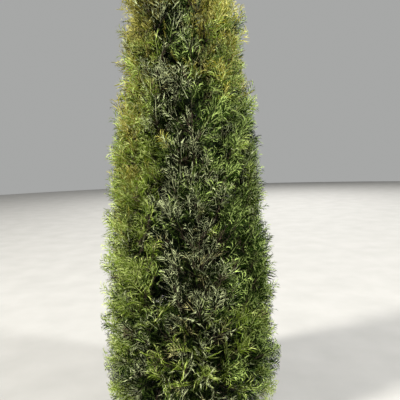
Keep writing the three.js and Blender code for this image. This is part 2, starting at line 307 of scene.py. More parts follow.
def crown_radius(z):
    """How far the crown's outline is from the tree's middle at a height."""
    taper = np.maximum(0, 1 - z / TREE_HEIGHT) ** CROWN_TAPER
    tuck = 1 - FOOT_TUCK * np.exp(-z / FOOT_RISE)
    return between(CROWN_TIP_RADIUS, CROWN_RADIUS, taper) * tuck


def polar(turn, radius, z):
    return np.array([radius * np.cos(turn), radius * np.sin(turn), z])


def along(bend, t):
    """Points on a bent line that is given by its start, the point it bends towards, and its end."""
    t = np.asarray(t, float)[..., None]
    return (1 - t) ** 2 * bend[0] + 2 * t * (1 - t) * bend[1] + t**2 * bend[2]


def unit(arrows):
    return arrows / np.maximum(np.linalg.norm(arrows, axis=-1, keepdims=True), 1e-12)


def heading_along(bend, t):
    t = np.asarray(t, float)[..., None]
    return unit((1 - t) * (bend[1] - bend[0]) + t * (bend[2] - bend[1]))


TIER_COUNT = 7
TIER_STEP = 0.47
TIER_MIDDLE = 0.7
TIER_TWIST = 0.45
FEWEST_IN_TIER = 1.4
MOST_IN_TIER = 5.3
FIRST_FOOT = 0.13
FOOT_JITTER = 0.09
TURN_JITTER = 0.5
SHORTEST_PLUME = 0.43
LONGEST_PLUME = 0.9
LENGTH_JITTER = 0.08
PLUME_FOOT_SHARE = 0.27
SLIM_WAIST_SHARE = 0.48
FULL_WAIST_SHARE = 0.6
WAIST_DROP_SHARE = 0.22
PLUME_TIP_SHARE = 0.78
FEWEST_TWIGS = 9
MOST_TWIGS = 18
OUTWARD_FAN = 1.9
OUTWARD_BIAS = 1.25

plumes = []
for tier in range(TIER_COUNT):
    low = FIRST_FOOT + tier * TIER_STEP
    fullness = crown_radius(low + TIER_MIDDLE * TIER_STEP) / CROWN_RADIUS
    count = int(between(FEWEST_IN_TIER, MOST_IN_TIER, fullness) + 0.5)
    for i in range(count):
        n = len(plumes)
        place = jittered(i, TURN_JITTER / 2, STREAM["turn"], n)
        turn = place * 2 * np.pi / count + tier * (TIER_TWIST + np.pi / count)
        foot = low if tier == 0 else low + FOOT_JITTER * chance(STREAM["foot"], n)
        length = between(SHORTEST_PLUME, LONGEST_PLUME, fullness)
        length *= jittered(1, LENGTH_JITTER, STREAM["length"], n)
        waist = foot + length / 2
        tip = foot + length
        size = crown_radius(waist) / CROWN_RADIUS
        waist_share = between(SLIM_WAIST_SHARE, FULL_WAIST_SHARE, size)
        stem = [
            polar(turn, PLUME_FOOT_SHARE * crown_radius(foot), foot),
            polar(turn, waist_share * crown_radius(waist), waist - length * WAIST_DROP_SHARE),
            polar(turn, PLUME_TIP_SHARE * crown_radius(tip), tip),
        ]
        plumes.append(
            SimpleNamespace(
                name=f"{tier + 1}_{i + 1}",
                tier=tier,
                turn=turn,
                foot=foot,
                stem=stem,
                size=size,
                twigs=int(between(FEWEST_TWIGS, MOST_TWIGS, size) + 0.5),
                fan=OUTWARD_FAN,
                bias=OUTWARD_BIAS,
            )
        )
bough_plumes = list(plumes)

BOUGH_RISE = 0.12
LOWEST_BOUGH = 0.045
SLIM_BOUGH_RISE = 0.5
BOUGH_ELBOW = 0.09
BOUGH_RADIUS = 0.013
SLIM_BOUGH_SHARE = 0.45
BOUGH_TIP_SHARE = 0.6
BOUGH_SIDES = 14
BOUGH_STAGES = 22
BOUGH_RELIEF_SHARE = 0.8
BOUGH_RIDGE_STRETCH = 0.35


def bough_radius(plume):
    return BOUGH_RADIUS * between(SLIM_BOUGH_SHARE, 1, plume.size)


def around(heading, near):
    """Two directions square to a heading: the one closest to near, and the one square to both."""
    near = np.broadcast_to(near, heading.shape)
    first = unit(near - heading * (near * heading).sum(-1, keepdims=True))
    return first, np.cross(heading, first)


bpy.ops.object.select_all(action="DESELECT")
bpy.ops.mesh.primitive_circle_add(vertices=BOUGH_SIDES, radius=1, fill_type="NGON")
straight_limb = bpy.context.object
straight_limb.name = "straight_limb"
bpy.ops.object.mode_set(mode="EDIT")
for stage in range(BOUGH_STAGES):
    bpy.ops.mesh.extrude_region_move(TRANSFORM_OT_translate={"value": (0, 0, 1 / BOUGH_STAGES)})
bpy.ops.mesh.select_all(action="SELECT")
bpy.ops.mesh.normals_make_consistent(inside=False)
bpy.ops.object.mode_set(mode="OBJECT")
straight_points = points_of(straight_limb)
limb_share = straight_points[:, 2]
limb_angle = np.arctan2(straight_points[:, 1], straight_points[:, 0])

made_boughs = []
for n, plume in enumerate(bough_plumes):
    end = plume.stem[0]
    elbow = end - heading_along(plume.stem, 0) * BOUGH_ELBOW * plume.size
    below = BOUGH_RISE * between(SLIM_BOUGH_RISE, 1, plume.size)
    line = [trunk_middle(max(LOWEST_BOUGH, plume.foot - below)), elbow, end]
    sideways = np.array([-np.sin(plume.turn), np.cos(plume.turn), 0])
    first, second = around(heading_along(line, limb_share), sideways)
    relief = BOUGH_RELIEF_SHARE * bark_relief(limb_share * BOUGH_RIDGE_STRETCH + n, limb_angle)
    thick = bough_radius(plume) * between(1, BOUGH_TIP_SHARE, limb_share) * (1 + relief)
    rim = first * np.cos(limb_angle)[:, None] + second * np.sin(limb_angle)[:, None]
    bough = straight_limb.copy()
    bough.data = straight_limb.data.copy()
    bpy.context.collection.objects.link(bough)
    move_points(bough, along(line, limb_share) + thick[:, None] * rim)
    made_boughs.append(bough)

bpy.ops.object.select_all(action="DESELECT")
for bough in made_boughs:
    bough.select_set(True)
boughs = bpy.context.view_layer.objects.active = made_boughs[0]
bpy.ops.object.join()
boughs.name = boughs.data.name = "boughs"
bpy.ops.object.shade_smooth_by_angle(angle=SMOOTH_ANGLE)
bpy.data.objects.remove(straight_limb)
young_bark = bark_finish(
    "young_bark", furrow="1E1710", strip="50402F", worn="75634F", fibre_scale=420
)
boughs.data.materials.append(young_bark)
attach(boughs, "root")
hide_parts(*(f"bough_{plume.name}" for plume in bough_plumes))

# Each bough runs on into a stem, and twigs leave the stem by the golden angle, most of them on the
# side that faces out. Short shoots fill the crown's inside, late ones its thin places, and side twigs
# leave the outer part of each. All are thin wood, grown on from one another and joined by the tier.
LEADER_SIZE = 0.28
LEADER_TWIGS = 16
LEADER_BELOW_TOP = 0.11
LEADER_LEAN_KEPT = 0.6
LIMB_GAP = 0.0003
UP = np.array([0.0, 0.0, 1.0])

leader_foot = trunk_middle(TRUNK_TOP) + LIMB_GAP * UP
leader_tip = np.array(
    [leader_foot[0] * LEADER_LEAN_KEPT, leader_foot[1], TREE_HEIGHT - LEADER_BELOW_TOP]
)
plumes.append(
    SimpleNamespace(
        name="leader",
        tier=TIER_COUNT - 1,
        turn=0,
        foot=leader_foot[2],
        stem=[leader_foot, (leader_foot + leader_tip) / 2, leader_tip],
        size=LEADER_SIZE,
        twigs=LEADER_TWIGS,
        fan=np.pi,
        bias=1,
    )
)

STEM_SAMPLES = 26
CROWN_FOOT = 0.06
SPACE_GAP = 0.005
MARCH_STEP = 0.006
stem_points = np.concatenate(
    [along(plume.stem, np.linspace(0, 1, STEM_SAMPLES + 1)) for plume in plumes]
)


def distance_to_stems(points, stretch=1):
    """How far points are from each plume's stem, where lengths may count more in some directions."""
    points, stems = points * stretch, stem_points * stretch
    squares = (points**2).sum(1)[:, None] - 2 * points @ stems.T + (stems**2).sum(1)
    return np.sqrt(np.maximum(squares, 0)).reshape(len(points), len(plumes), -1).min(2)


def in_space(points, own):
    """Whether points are inside the crown's outline and nearer to this plume's stem than to any other."""
    distance = distance_to_stems(points)
    z = points[:, 2]
    inside = (z >= CROWN_FOOT) & (z <= TREE_HEIGHT)
    inside &= np.hypot(points[:, 0], points[:, 1]) <= crown_radius(z)
    return inside & (np.delete(distance, own, 1).min(1) > distance[:, own] + SPACE_GAP)


def room_along(start, heading, own, most):
    """How far a twig can grow straight on before it leaves its plume's space."""
    steps = np.arange(0, most, MARCH_STEP)
    inside = in_space(start + steps[:, None] * heading, own)
    count = len(inside) if inside.all() else int(np.argmin(inside))
    return max(0.0, (count - 1) * MARCH_STEP)


def depth_of(points):
    """How deep in the crown points lie: 0 on its outline and 1 in its middle."""
    return 1 - np.hypot(points[..., 0], points[..., 1]) / crown_radius(points[..., 2])


def nearest_sample(point):
    """Which of the stems' sample points is nearest, and which plume's it is."""
    nearest = int(np.linalg.norm(stem_points - point, axis=1).argmin())
    return nearest, nearest // (STEM_SAMPLES + 1)


OUTER_SHARE = 0.9
OUTLINE_DRAWN = 0.07
DRAWN_FULLY = 0.9
LEAF_BEYOND_TWIG = 0.08
LONG_TWIG = 0.04
LONG_TWIG_SHARE = 0.22
LEAST_ROOM_KEPT = 0.5
TWIG_SAG = 0.16
SAG_PLACE = 0.55
LONGEST_TUFT = 0.2
TUFT_SHARE = 0.62
TUFT_OF_SPRAY = 0.8
INNER_DEPTH = 0.25
SECOND_DRAW = 0.5


def twig_of(start, heading, room, length, n, own):
    """A twig to the edge of its plume's space, or to where its leaves just reach the crown's outline:
    a few stand out a little further. It sags and turns up at its tip. Its tuft is the leafy end."""
    end = start + heading * room
    if depth_of(end) < 1 - OUTER_SHARE:
        share = OUTLINE_DRAWN * min(1, end[2] / DRAWN_FULLY)
        drawn = LEAF_BEYOND_TWIG + share * float(crown_radius(end[2]))
        drawn -= LONG_TWIG * (chance(STREAM["spray"], SECOND_DRAW + n) < LONG_TWIG_SHARE)
        room = max(room - drawn, LEAST_ROOM_KEPT * room)
        end = start + heading * room
    lower = np.array([heading[0], heading[1], heading[2] - TWIG_SAG])
    line = [start, start + lower * room * SAG_PLACE, end]
    tuft = min(LONGEST_TUFT, max(TUFT_SHARE * room, min(room, TUFT_OF_SPRAY * length)))
    inner = depth_of(end) > INNER_DEPTH
    return SimpleNamespace(line=line, reach=room, tuft=tuft, n=n, own=own, inner=inner)


GOLDEN_ANGLE = np.pi * (3 - np.sqrt(5))
TWIGS_FOR_ONE = 3
BETWEEN_TURNS = (0, 0.19, 0.57)
TWIG_PLACE_JITTER = 0.5
LOWEST_TWIG = 0.02
HIGHEST_TWIG = 0.95
LOW_TWIG_RISE = 0.5
HIGH_TWIG_RISE = 1
STEEPEST_RISE = 1.4
TWIG_STEEPER = (0, 0.2, 0.4, 0.6)
WORTH_STEEPER = 0.02
SKIRT_DROOP = 0.9
SHORTEST_SPRAY = 0.09
LONGEST_SPRAY = 0.27
SPRAY_JITTER = 0.12
ADDED_TWIG_DRAW = 0.37
SHORTEST_ADDED_SHARE = 0.84
LONGEST_REACH = 2
SHORTEST_SHARE = 0.78
SHORTEST_ROOM = 0.07
SHORTEST_TOP_TWIG = 0.06
TOP_TWIG_NUMBER = 7
twigs = []


def rising(turn, rise):
    """The heading that goes out at a turn and up by an angle."""
    return polar(turn, np.cos(rise), np.sin(rise))


def roomiest(start, turn, rise, own, length):
    """The lowest of a few headings with room enough for a twig, or else the roomiest, and its room."""
    best = None
    for steeper in TWIG_STEEPER:
        heading = rising(turn, min(rise + steeper, STEEPEST_RISE))
        room = room_along(start, heading, own, LONGEST_REACH * length)
        if best is None or room > best[1] + WORTH_STEEPER:
            best = (heading, room)
        if room >= SHORTEST_SHARE * length:
            break
    return best


def grow_twigs(plume, own, spray_length):
    """A stem's twigs: a few for each spray that its solid has, and the one at its own tip."""
    for k in range(TWIGS_FOR_ONE * plume.twigs):
        j, extra = divmod(k, TWIGS_FOR_ONE)
        n = own * 2 * MOST_TWIGS + j
        place = j + extra / TWIGS_FOR_ONE + TWIG_PLACE_JITTER * chance(STREAM["height"], n)
        t = min(1.0, between(LOWEST_TWIG, HIGHEST_TWIG, place / plume.twigs))
        droop = SKIRT_DROOP * max(0, 1 - 2 * t) if plume.foot == FIRST_FOOT else 0
        rise = between(LOW_TWIG_RISE, HIGH_TWIG_RISE, t) - droop
        turned = j * GOLDEN_ANGLE / (2 * np.pi) + BETWEEN_TURNS[extra]
        bend = 2 * (turned % 1) - 1
        swing = plume.fan * np.sign(bend) * abs(bend) ** plume.bias
        draw = n + ADDED_TWIG_DRAW * extra
        length = spray_length * jittered(1, SPRAY_JITTER, STREAM["spray"], draw)
        start = along(plume.stem, t)
        heading, room = roomiest(start, plume.turn + swing, rise, own, length)
        number = TWIGS_FOR_ONE * n + extra
        if extra:
            room *= between(SHORTEST_ADDED_SHARE, 1, chance(STREAM["length"], number))
        if room > SHORTEST_ROOM:
            twigs.append(twig_of(start, heading, room, length, number, own))
    top = heading_along(plume.stem, 1)
    room = room_along(plume.stem[2], top, own, LONGEST_REACH * spray_length)
    room = max(room, SHORTEST_TOP_TWIG)
    number = TWIGS_FOR_ONE * n + TOP_TWIG_NUMBER
    twigs.append(twig_of(plume.stem[2], top, room, spray_length, number, own))


NUMBERS_EACH = 100
SKIRT_NUMBERS = 7000
SKIRT_TWIGS = 20
SKIRT_TOP = 0.34
SKIRT_FAN = 2.4
SKIRT_RISES = (-0.75, 0.15)
SKIRT_RISE_JITTER = 0.15


def grow_skirt(plume, own, spray_length):
    """More twigs low on a plume of the first tier, which droop and hide the trunk's foot."""
    for k in range(SKIRT_TWIGS):
        n = SKIRT_NUMBERS + NUMBERS_EACH * own + k
        t = SKIRT_TOP * (k + chance(STREAM["height"], n)) / SKIRT_TWIGS
        swing = SKIRT_FAN * (2 * (k * GOLDEN_ANGLE / (2 * np.pi) % 1) - 1)
        rise = between(*SKIRT_RISES, t / SKIRT_TOP)
        rise += jittered(0, SKIRT_RISE_JITTER, STREAM["foot"], n)
        heading = rising(plume.turn + swing, rise)
        start = along(plume.stem, t)
        room = room_along(start, heading, own, LONGEST_REACH * LONGEST_SPRAY)
        if room > SHORTEST_ROOM:
            twigs.append(twig_of(start, heading, room, spray_length, n, own))


SHOOT_NUMBERS = 9000
SHOOTS_ON_STEM = 38
SHOOT_RISE = 0.75
SHOOT_RISE_JITTER = 0.3
SLIM_CORE_SHARE = 0.27
FULL_CORE_SHARE = 0.19
SHOOT_LENGTHS_IN_CORES = (1.1, 1.9)
INTO_NEXT_SPACE = 0.03
SHORTEST_INNER_ROOM = 0.05


def add_shoot(start, heading, room, length, n, own):
    """Adds a twig that counts as inside the crown, wherever it ends."""
    shoot = twig_of(start, heading, room, length, n, own)
    shoot.inner = True
    twigs.append(shoot)


def grow_shoots(plume, own):
    """Short shoots all round a stem, a little longer than the solid's core is wide."""
    core = between(SLIM_CORE_SHARE, FULL_CORE_SHARE, plume.size) * CROWN_RADIUS * plume.size
    for k in range(SHOOTS_ON_STEM):
        n = SHOOT_NUMBERS + NUMBERS_EACH * own + k
        t = (k + chance(STREAM["height"], n)) / SHOOTS_ON_STEM
        rise = jittered(SHOOT_RISE, SHOOT_RISE_JITTER, STREAM["foot"], n)
        heading = rising(plume.turn + k * GOLDEN_ANGLE, rise)
        length = core * between(*SHOOT_LENGTHS_IN_CORES, chance(STREAM["length"], n))
        start = along(plume.stem, t)
        room = min(length, room_along(start, heading, own, 2 * length) + INTO_NEXT_SPACE)
        add_shoot(start, heading, max(room, SHORTEST_INNER_ROOM), length, n, own)


for own, plume in enumerate(plumes):
    spray_length = between(SHORTEST_SPRAY, LONGEST_SPRAY, plume.size)
    grow_twigs(plume, own, spray_length)
    if plume.foot == FIRST_FOOT:
        grow_skirt(plume, own, spray_length)
    grow_shoots(plume, own)

LEADER_SHOOT_NUMBERS = 20000
SHOOTS_ON_LEADER = 110
LEADER_SHOOT_PLACES = (0.09, 0.97)
LEADER_SHOOT_RISE = 0.6
SHORTEST_SHOOT = 0.09
LONGEST_SHOOT = 0.24
SHOOT_OF_CROWN = 0.55
for k in range(SHOOTS_ON_LEADER):
    n = LEADER_SHOOT_NUMBERS + k
    place = (k + chance(STREAM["height"], n)) / SHOOTS_ON_LEADER
    z = between(*LEADER_SHOOT_PLACES, place) * TRUNK_TOP
    rise = jittered(LEADER_SHOOT_RISE, SHOOT_RISE_JITTER, STREAM["foot"], n)
    longest = min(LONGEST_SHOOT, SHOOT_OF_CROWN * float(crown_radius(z)))
    length = between(SHORTEST_SHOOT, longest, chance(STREAM["length"], n))
    start = trunk_middle(z)
    heading = rising(k * GOLDEN_ANGLE, rise)
    own = nearest_sample(start + heading * length / 2)[1]
    add_shoot(start, heading, length, length, n, own)

LATE_NUMBERS = 30000
LATE_SHOOTS = 2600
LOWEST_LATE = 0.1
HIGHEST_LATE = 3.8
LATE_HEIGHT_STEPS = 200
LATE_GAP = 0.087
LATE_GAP_AT_FOOT = 0.08
LATE_RISE = 0.75
LATE_INWARD = 0.01
LATE_OUTLINE_DRAWN = 0.5
LEAST_LATE_REACH = 0.3
late_share = (np.arange(LATE_SHOOTS) + 0.5) / LATE_SHOOTS
heights = np.linspace(LOWEST_LATE, HIGHEST_LATE, LATE_HEIGHT_STEPS)
grown = np.cumsum(crown_radius(heights))
late_height = np.interp(late_share, grown / grown[-1], heights)
tips = [twig.line[2] for twig in twigs if not twig.inner]
for k, z in enumerate(late_height):
    low = min(1, z / DRAWN_FULLY)
    drawn = LEAF_BEYOND_TWIG + LATE_INWARD * low
    drawn += LATE_OUTLINE_DRAWN * OUTLINE_DRAWN * low * crown_radius(z)
    outermost = max(float(crown_radius(z) - drawn), LEAST_LATE_REACH * float(crown_radius(z)))
    target = polar(k * GOLDEN_ANGLE, outermost, z)
    gap = between(LATE_GAP_AT_FOOT, LATE_GAP, low)
    if np.linalg.norm(np.array(tips) - target, axis=1).min() < gap:
        continue
    nearest, own = nearest_sample(target)
    rise = LATE_RISE * np.hypot(*(stem_points[nearest] - target)[:2])
    stem = plumes[own].stem
    t = np.clip((z - rise - stem[0][2]) / (stem[2][2] - stem[0][2]), 0, 1)
    start = along(stem, t)
    length = np.linalg.norm(target - start)
    twig = twig_of(start, (target - start) / length, length, length, LATE_NUMBERS + k, own)
    twig.line[2] = target
    twig.inner = False
    twigs.append(twig)
    tips.append(target)

FULL_SPREAD = 6.3
FAN_NUMBERS = 40
FEWEST_FANS = 7
FANS_IN_METRE = 42
INNER_FANS = 0.6
FIRST_FAN_PLACE = 0.4
SPREAD_FROM = np.array([0.3, 0.2, -1.0])
LOW_SIDE_LEAN = 0.95
HIGH_SIDE_LEAN = 0.25
SIDE_TWIG_LIFT = 0.18
LOW_FAN = 0.134
HIGH_FAN = 0.105
FULL_TUFT = 0.15
SMALLEST_FAN_SHARE = 0.7
LARGEST_FAN_SHARE = 1.05
FAN_LENGTH_JITTER = 0.22
for twig in twigs:
    count = FEWEST_FANS + FANS_IN_METRE * twig.tuft
    count = int(count * INNER_FANS if twig.inner else count)
    share = (np.arange(count) + FIRST_FAN_PLACE) / count
    t = 1 - (1 - share) * twig.tuft / twig.reach
    heading = heading_along(twig.line, t)
    first, second = around(heading, SPREAD_FROM)
    phase = np.arange(count) * GOLDEN_ANGLE + FULL_SPREAD * chance(STREAM["facing"], twig.n)
    outward = first * np.cos(phase)[:, None] + second * np.sin(phase)[:, None]
    lean = between(LOW_SIDE_LEAN, HIGH_SIDE_LEAN, share)[:, None]
    length = between(LOW_FAN, HIGH_FAN, share)
    length = length * np.clip(twig.tuft / FULL_TUFT, SMALLEST_FAN_SHARE, LARGEST_FAN_SHARE)
    twig.fan_n = FAN_NUMBERS * twig.n + np.arange(count)
    twig.fan_share = share
    twig.fan_root = along(twig.line, t)
    twig.fan_heading = unit(heading * np.cos(lean) + outward * np.sin(lean) + SIDE_TWIG_LIFT * UP)
    twig.fan_length = length * jittered(1, FAN_LENGTH_JITTER, STREAM["turn"], twig.fan_n)

LEVEL = np.array([0.3, 1.0, 0.1])


def tubes(paths, radii, sides):
    """Closed tapering tubes, one along each path of points: their corners and triangles."""
    count, rings = radii.shape
    heading = unit(np.gradient(paths, axis=1))
    first, second = around(heading, LEVEL)
    turn = np.arange(sides) * 2 * np.pi / sides
    rim = first[:, :, None] * np.cos(turn)[:, None] + second[:, :, None] * np.sin(turn)[:, None]
    corners = paths[:, :, None] + rim * radii[:, :, None, None]
    faces = []
    for side in range(sides):
        after = (side + 1) % sides
        for step in range(rings - 1):
            a, b = step * sides + side, step * sides + after
            faces += [(a, b, b + sides), (a, b + sides, a + sides)]
    last = (rings - 1) * sides
    for side in range(1, sides - 1):
        faces += [(0, side + 1, side), (last, last + side, last + side + 1)]
    faces = np.array(faces)[None] + np.arange(count)[:, None, None] * rings * sides
    return corners.reshape(-1, 3), faces.reshape(-1, 3)


def spikes(start, heading, length, foot):
    """Closed three-sided spikes, for the finest wood: their corners and triangles."""
    first, second = around(heading, LEVEL)
    turn = np.arange(3)[:, None, None] * 2 * np.pi / 3
    rim = start + foot * (first * np.cos(turn) + second * np.sin(turn))
    corners = np.concatenate([rim, (start + heading * length)[None]]).transpose(1, 0, 2)
    faces = np.array([(0, 1, 3), (1, 2, 3), (2, 0, 3), (0, 2, 1)])
    faces = faces[None] + np.arange(len(start))[:, None, None] * 4
    return corners.reshape(-1, 3), faces.reshape(-1, 3)


def joined_mesh(name, corners, faces, finishes, finish_of_face=None):
    """One object from arrays of corners and triangles, with its finishes dealt out by face."""
    mesh = bpy.data.meshes.new(name)
    mesh.vertices.add(len(corners))
    mesh.vertices.foreach_set("co", corners.astype(np.float32).ravel())
    mesh.loops.add(3 * len(faces))
    mesh.loops.foreach_set("vertex_index", faces.astype(np.int32).ravel())
    mesh.polygons.add(len(faces))
    mesh.polygons.foreach_set("loop_start", np.arange(0, 3 * len(faces), 3, dtype=np.int32))
    for finish in finishes:
        mesh.materials.append(finish)
    if finish_of_face is not None:
        mesh.polygons.foreach_set("material_index", finish_of_face.astype(np.int32))
    mesh.update(calc_edges=True)
    piece = bpy.data.objects.new(name, mesh)
    bpy.context.collection.objects.link(piece)
    return piece


def piled(parts):
    """Several sets of corners and triangles as one."""
    starts = np.cumsum([0] + [len(corners) for corners, _ in parts[:-1]])
    corners = np.concatenate([corners for corners, _ in parts])
    return corners, np.concatenate([faces + start for (_, faces), start in zip(parts, starts)])


def gathered(own_twigs, key):
    """What some twigs hold under a name, one twig after the other."""
    return np.concatenate([getattr(twig, key) for twig in own_twigs])


STEM_SIDES = 7
STEM_RINGS = 25
STEM_TIP_RADIUS = 0.0025
TWIG_SIDES = 4
TWIG_RINGS = 6
TWIG_DRAWN_SHARE = 0.97
METRE_TWIG_RADIUS = 0.0062
THINNEST_TWIG = 0.0018
THICKEST_TWIG = 0.0045
TWIG_TIP_SHARE = 0.4
SIDE_TWIG_RADIUS = 0.0018
SIDE_TWIG_SHARE = 0.5
for tier in range(TIER_COUNT):
    stems = [plume for plume in plumes if plume.tier == tier]
    steps = np.linspace(0, 1, STEM_RINGS)
    feet = [
        TRUNK_TIP_RADIUS if plume.name == "leader" else bough_radius(plume) * BOUGH_TIP_SHARE
        for plume in stems
    ]
    stem_paths = np.array([along(plume.stem, steps) for plume in stems])
    stem_radii = np.array([between(foot, STEM_TIP_RADIUS, steps) for foot in feet])
    own_twigs = [twig for twig in twigs if plumes[twig.own].tier == tier]
    steps = np.linspace(0, 1, TWIG_RINGS)
    twig_paths = np.array([along(twig.line, steps * TWIG_DRAWN_SHARE) for twig in own_twigs])
    reaches = np.array([twig.reach for twig in own_twigs])[:, None]
    twig_feet = np.clip(METRE_TWIG_RADIUS * reaches**0.5, THINNEST_TWIG, THICKEST_TWIG)
    twig_radii = between(1, TWIG_TIP_SHARE, steps)[None] * twig_feet
    side_length = gathered(own_twigs, "fan_length")[:, None] * SIDE_TWIG_SHARE
    side_twigs = spikes(
        gathered(own_twigs, "fan_root"),
        gathered(own_twigs, "fan_heading"),
        side_length,
        SIDE_TWIG_RADIUS,
    )
    stem_tubes = tubes(stem_paths, stem_radii, STEM_SIDES)
    wood = piled([stem_tubes, tubes(twig_paths, twig_radii, TWIG_SIDES), side_twigs])
    piece = joined_mesh(f"twigs_tier_{tier + 1}", *wood, [young_bark])
    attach(piece, "root")
    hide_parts(*(f"foliage_{plume.name}" for plume in stems))

# The leaves are tiny scales pressed to thin green cords, which fork again and again in feathery fans.
# One fan stands on each side twig: an axis, cords on both sides of it and forks on the cords. Their
# plain tints are dealt out by fan: golden high up, olive in front, and dark inside and between plumes,
# which is painted shade. A cord's root is darker, also painted shade, and its tip is paler, a painted
# highlight on young growth.
FAN_KINDS = 8
OUTER_PAIRS = 5
INNER_PAIRS = 4
AXIS_WIDTH = 0.032
AXIS_ROLL = 0.3
ARCH_JITTER = 0.15
OUTER_CORD_WIDTH = 0.033
INNER_CORD_WIDTH = 0.055
CORD_WIDEST = 0.3
CORD_BOW = 0.02
LOWEST_CORD = 0.1
HIGHEST_CORD = 0.84
LOW_CORD_LEAN = 0.86
HIGH_CORD_LEAN = 0.56
LEAN_JITTER = 0.15
LOW_CORD = 0.46
HIGH_CORD = 0.37
CORD_JITTER = 0.18
CORD_OUT = 0.3
CORD_ROLL = 0.8
FORK_PLACES = (0.34, 0.62)
FORK_BOW_SHARE = 0.6
FORK_SHARE = 0.48
FORK_JITTER = 0.2
FORK_LEAN = 0.54
FORK_OUT = 0.25
FORK_WIDTH = 0.028
PALE_TIPS_FROM = 0.3
PALE_TIPS_LOW = 0.1
PALE_TIPS_HIGH = 0.43
KIND_NUMBERS = 100
PAIR_NUMBERS = 10
FORK_NUMBERS = 31
FORK_DRAW = 7
STREAM.update(cord=11, kind=12, roll=13, tint=14, mood=15)


def flat_heading(lean, out):
    """A direction in a fan: lean is counted from its axis, out is how far it leaves the fan's plane."""
    return unit(np.array([np.sin(lean), np.cos(lean), out]))


def side_of(heading, roll):
    """The direction across a cord, rolled about it by an angle from the fan's plane."""
    flat = unit(np.cross(heading, UP))
    return flat * np.cos(roll) + np.cross(heading, flat) * np.sin(roll)


def has_pale_tip(share, n):
    """Whether a cord or fork has a pale tip, young growth with a painted highlight: most do towards the
    fan's end.
    """
    return chance(STREAM["tint"], n) < (PALE_TIPS_HIGH if share > PALE_TIPS_FROM else PALE_TIPS_LOW)


def fan_kind(kind, pairs, cord_width, forked):
    """One kind of fan, a metre long: its corners, its triangles, and which are pale tips with painted
    highlight.
    A cord is two triangles, widest near its root, and a fork on it one."""
    corners, faces, young_or_lit = [], [], []

    def cord(root, lean, out, length, width, roll, bow, tip):
        first = len(corners)
        half = side_of(flat_heading(lean, out), roll) * width / 2
        wide = root + flat_heading(lean + bow, out) * length * CORD_WIDEST
        end = root + flat_heading(lean, out) * length
        corners.extend([root, wide - half, wide + half, end])
        faces.extend([(first, first + 2, first + 1), (first + 1, first + 2, first + 3)])
        # The root triangle takes the tint's darker inner colour, which is painted shade. The tip triangle
        # takes the paler tip colour where the tip is pale, which is young growth with a painted
        # highlight.
        young_or_lit.extend([0, tip])

    def fork(root, lean, out, length, roll, tip):
        first = len(corners)
        half = side_of(flat_heading(lean, out), roll) * FORK_WIDTH / 2
        corners.extend([root - half, root + half, root + flat_heading(lean, out) * length])
        faces.append((first, first + 1, first + 2))
        young_or_lit.append(tip)

    arch = jittered(0, ARCH_JITTER, STREAM["cord"], KIND_NUMBERS * kind)
    cord(np.zeros(3), 0.0, arch, 1.0, AXIS_WIDTH, AXIS_ROLL, 0.0, True)
    for pair in range(pairs):
        for hand in (-1, 1):
            n = KIND_NUMBERS * kind + PAIR_NUMBERS * pair + hand + 2
            share = (pair + 0.5 * (hand > 0)) / pairs
            up = between(LOWEST_CORD, HIGHEST_CORD, share)
            root = np.array([0, up, arch * up])
            lean = between(LOW_CORD_LEAN, HIGH_CORD_LEAN, share)
            lean *= hand * jittered(1, LEAN_JITTER, STREAM["cord"], n)
            out = jittered(0, CORD_OUT, STREAM["roll"], n)
            length = between(LOW_CORD, HIGH_CORD, share)
            length *= jittered(1, CORD_JITTER, STREAM["length"], n)
            roll = jittered(0, CORD_ROLL, STREAM["facing"], n)
            cord(root, lean, out, length, cord_width, roll, hand * CORD_BOW, has_pale_tip(share, n))
            for k, place in enumerate(FORK_PLACES if forked else ()):
                m = n + FORK_NUMBERS * k
                bowed = lean + FORK_BOW_SHARE * hand * CORD_BOW
                base = root + flat_heading(bowed, out) * length * place
                turned = lean + (FORK_LEAN if k % 2 else -FORK_LEAN) * hand
                long = length * FORK_SHARE * jittered(1, FORK_JITTER, STREAM["spray"], m)
                tilt = out + jittered(0, FORK_OUT, STREAM["roll"], m)
                fork(base, turned, tilt, long, roll, has_pale_tip(share, m + FORK_DRAW))
    return SimpleNamespace(corners=np.array(corners), faces=np.array(faces), young_or_lit=np.array(young_or_lit))


outer_kinds = [fan_kind(k, OUTER_PAIRS, OUTER_CORD_WIDTH, True) for k in range(FAN_KINDS)]
inner_kinds = [fan_kind(k, INNER_PAIRS, INNER_CORD_WIDTH, False) for k in range(FAN_KINDS)]

LEAF_ROUGHNESS = 0.6
LEAF_GLOSS = 0.04
# Each tint has a darker inner colour for the cords' roots, which is painted shade and least so on the
# sunny lemon, gold and straw. It also has a paler tip colour, which is young growth with a painted
# highlight.
TINTS = {
    "gold": ("676421", "989350"),
    # Straw is the paler gold of the right's top, and is in part painted sunlight.
    "straw": ("7A7628", "AFAA63"),
    "lemon": ("647627", "A0AB64"),
    "fresh": ("1B2D07", "8A9C55"),
    "olive": ("090F05", "969D74"),
    "tan": ("15120A", "8E8B5C"),
    # Painted shade: these two darkest tints go to fans that are deep in the crown, old, low on the tree,
    # or between plumes.
    "deep": ("040C02", "38471C"),
    "shade": ("020701", "091302"),
    "dry": ("2C2219", "625746"),
}
tint_number = {tint: number for number, tint in enumerate(TINTS)}
foliage_finishes = []
for tint, colors in TINTS.items():
    for part, color in zip(("inner", "tip"), colors):
        material, place = new_finish(f"foliage_{tint}_{part}")
        lay_on(
            place,
            {
                "Base Color": paint(color),
                "Roughness": LEAF_ROUGHNESS,
                "Specular IOR Level": LEAF_GLOSS,
            },
        )
        foliage_finishes.append(material)

FIRST_MOOD = 500
SECOND_MOOD = 38024
TWIG_MOODS_BELOW = 500
TWIG_MOOD = 0.5


